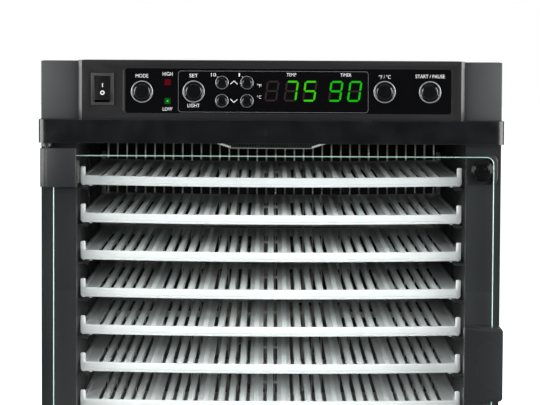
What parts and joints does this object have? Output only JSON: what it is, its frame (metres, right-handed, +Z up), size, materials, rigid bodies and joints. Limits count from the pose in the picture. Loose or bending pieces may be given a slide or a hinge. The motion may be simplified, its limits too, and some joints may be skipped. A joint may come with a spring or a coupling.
{
  "type": "food dehydrator",
  "caption": "Black cabinet food dehydrator with white slide-in trays behind a hinged glass door, a digital control header on top, and a fan and heater at the back.",
  "frame": {"origin": "under the middle of the cabinet, at the height of the feet's undersides", "axes": "+Z up; +X to the right seen from the front; the door faces -Y"},
  "size_m": [0.438, 0.46, 0.509],
  "materials": {
    "case": "fine satin black powder coat",
    "moulding": "fine matt texture",
    "header": "fine matt texture",
    "gloss": "polished",
    "liner": "satin",
    "ring": "satin metallic",
    "tray": "translucent white, satin",
    "glass": "clear tempered, ground edge",
    "steel": "zinc-plated",
    "wire": "plated wire",
    "rubber": "matt",
    "board": "solder mask",
    "lens": "frosted clear",
    "aluminium": "pressed",
    "heater": "heat-tinted sheath"
  },
  "bodies": {
    "cabinet": {"base_pan": "case", "left_side_panel": "case", "right_side_panel": "case", "top_cover": "case", "back_panel": "case", "front_frame": "moulding", "header_housing": "header", "control_fascia": "header", "display_window": "gloss", "trim_band": "moulding", "liner_left": "liner", "liner_right": "liner", "liner_top": "liner", "liner_floor": "liner", "rear_grille": "wire", "lamp_lens": "lens", "lamp_board": "board", "fan_shroud": "liner", "fan_motor": "steel", "heater_element": "heater", "thermal_cutout": "liner", "temperature_sensor": "steel", "control_board": "board", "display_module": "gloss", "status_leds": "lens", "power_board": "board", "switch_body": "gloss", "button_bezels": "ring", "feet": "rubber", "cord_gland": "rubber", "case_screws": "steel", "hinge_pins": "steel", "strike_plates": "steel"},
    "door": {"door_glass": "glass", "hinge_caps": "moulding", "hinge_clamps": "steel", "door_handle": "gloss", "magnet_pads": "moulding", "magnet_knobs": "gloss"},
    "switch_rocker": {"switch_rocker": "gloss"},
    "fan_rotor": {"fan_rotor": "aluminium"},
    "button_mode": {"button_mode": "gloss"},
    "button_set_light": {"button_set_light": "gloss"},
    "button_unit": {"button_unit": "gloss"},
    "button_start_pause": {"button_start_pause": "gloss"},
    "button_tens_up": {"button_tens_up": "gloss"},
    "button_tens_down": {"button_tens_down": "gloss"},
    "button_ones_up": {"button_ones_up": "gloss"},
    "button_ones_down": {"button_ones_down": "gloss"},
    "tray_01": {"tray_01": "tray"},
    "tray_02": {"tray_02": "tray"},
    "tray_03": {"tray_03": "tray"},
    "tray_04": {"tray_04": "tray"},
    "tray_05": {"tray_05": "tray"},
    "tray_06": {"tray_06": "tray"},
    "tray_07": {"tray_07": "tray"},
    "tray_08": {"tray_08": "tray"},
    "tray_09": {"tray_09": "tray"},
    "tray_10": {"tray_10": "tray"},
    "tray_11": {"tray_11": "tray"}
  },
  "joints": [
    {"name": "door_hinge", "type": "hinge", "parent": "cabinet", "child": "door", "pos_m": [-0.2115, -0.212, 0.2217], "axis": [0, 0, -1], "range_deg": [0, 120]},
    {"name": "switch_rock", "type": "hinge", "parent": "cabinet", "child": "switch_rocker", "pos_m": [-0.1588, -0.2098, 0.4817], "axis": [1, 0, 0], "range_deg": [0, 18]},
    {"name": "button_mode_press", "type": "slide", "parent": "cabinet", "child": "button_mode", "axis": [0, 1, 0], "range_m": [0, 0.0015], "stiffness_N_per_m": 600},
    {"name": "button_set_light_press", "type": "slide", "parent": "cabinet", "child": "button_set_light", "axis": [0, 1, 0], "range_m": [0, 0.0015], "stiffness_N_per_m": 600},
    {"name": "button_unit_press", "type": "slide", "parent": "cabinet", "child": "button_unit", "axis": [0, 1, 0], "range_m": [0, 0.0015], "stiffness_N_per_m": 600},
    {"name": "button_start_pause_press", "type": "slide", "parent": "cabinet", "child": "button_start_pause", "axis": [0, 1, 0], "range_m": [0, 0.0015], "stiffness_N_per_m": 600},
    {"name": "button_tens_up_press", "type": "slide", "parent": "cabinet", "child": "button_tens_up", "axis": [0, 1, 0], "range_m": [0, 0.0015], "stiffness_N_per_m": 600},
    {"name": "button_tens_down_press", "type": "slide", "parent": "cabinet", "child": "button_tens_down", "axis": [0, 1, 0], "range_m": [0, 0.0015], "stiffness_N_per_m": 600},
    {"name": "button_ones_up_press", "type": "slide", "parent": "cabinet", "child": "button_ones_up", "axis": [0, 1, 0], "range_m": [0, 0.0015], "stiffness_N_per_m": 600},
    {"name": "button_ones_down_press", "type": "slide", "parent": "cabinet", "child": "button_ones_down", "axis": [0, 1, 0], "range_m": [0, 0.0015], "stiffness_N_per_m": 600},
    {"name": "fan_spin", "type": "hinge", "parent": "cabinet", "child": "fan_rotor", "pos_m": [0, 0.1805, 0.226], "axis": [0, 1, 0], "continuous": true},
    {"name": "tray_01_slide", "type": "slide", "parent": "cabinet", "child": "tray_01", "axis": [0, -1, 0], "range_m": [0, 0.02]},
    {"name": "tray_02_slide", "type": "slide", "parent": "cabinet", "child": "tray_02", "axis": [0, -1, 0], "range_m": [0, 0.02]},
    {"name": "tray_03_slide", "type": "slide", "parent": "cabinet", "child": "tray_03", "axis": [0, -1, 0], "range_m": [0, 0.02]},
    {"name": "tray_04_slide", "type": "slide", "parent": "cabinet", "child": "tray_04", "axis": [0, -1, 0], "range_m": [0, 0.02]},
    {"name": "tray_05_slide", "type": "slide", "parent": "cabinet", "child": "tray_05", "axis": [0, -1, 0], "range_m": [0, 0.02]},
    {"name": "tray_06_slide", "type": "slide", "parent": "cabinet", "child": "tray_06", "axis": [0, -1, 0], "range_m": [0, 0.02]},
    {"name": "tray_07_slide", "type": "slide", "parent": "cabinet", "child": "tray_07", "axis": [0, -1, 0], "range_m": [0, 0.02]},
    {"name": "tray_08_slide", "type": "slide", "parent": "cabinet", "child": "tray_08", "axis": [0, -1, 0], "range_m": [0, 0.02]},
    {"name": "tray_09_slide", "type": "slide", "parent": "cabinet", "child": "tray_09", "axis": [0, -1, 0], "range_m": [0, 0.02]},
    {"name": "tray_10_slide", "type": "slide", "parent": "cabinet", "child": "tray_10", "axis": [0, -1, 0], "range_m": [0, 0.02]},
    {"name": "tray_11_slide", "type": "slide", "parent": "cabinet", "child": "tray_11", "axis": [0, -1, 0], "range_m": [0, 0.02]}
  ]
}
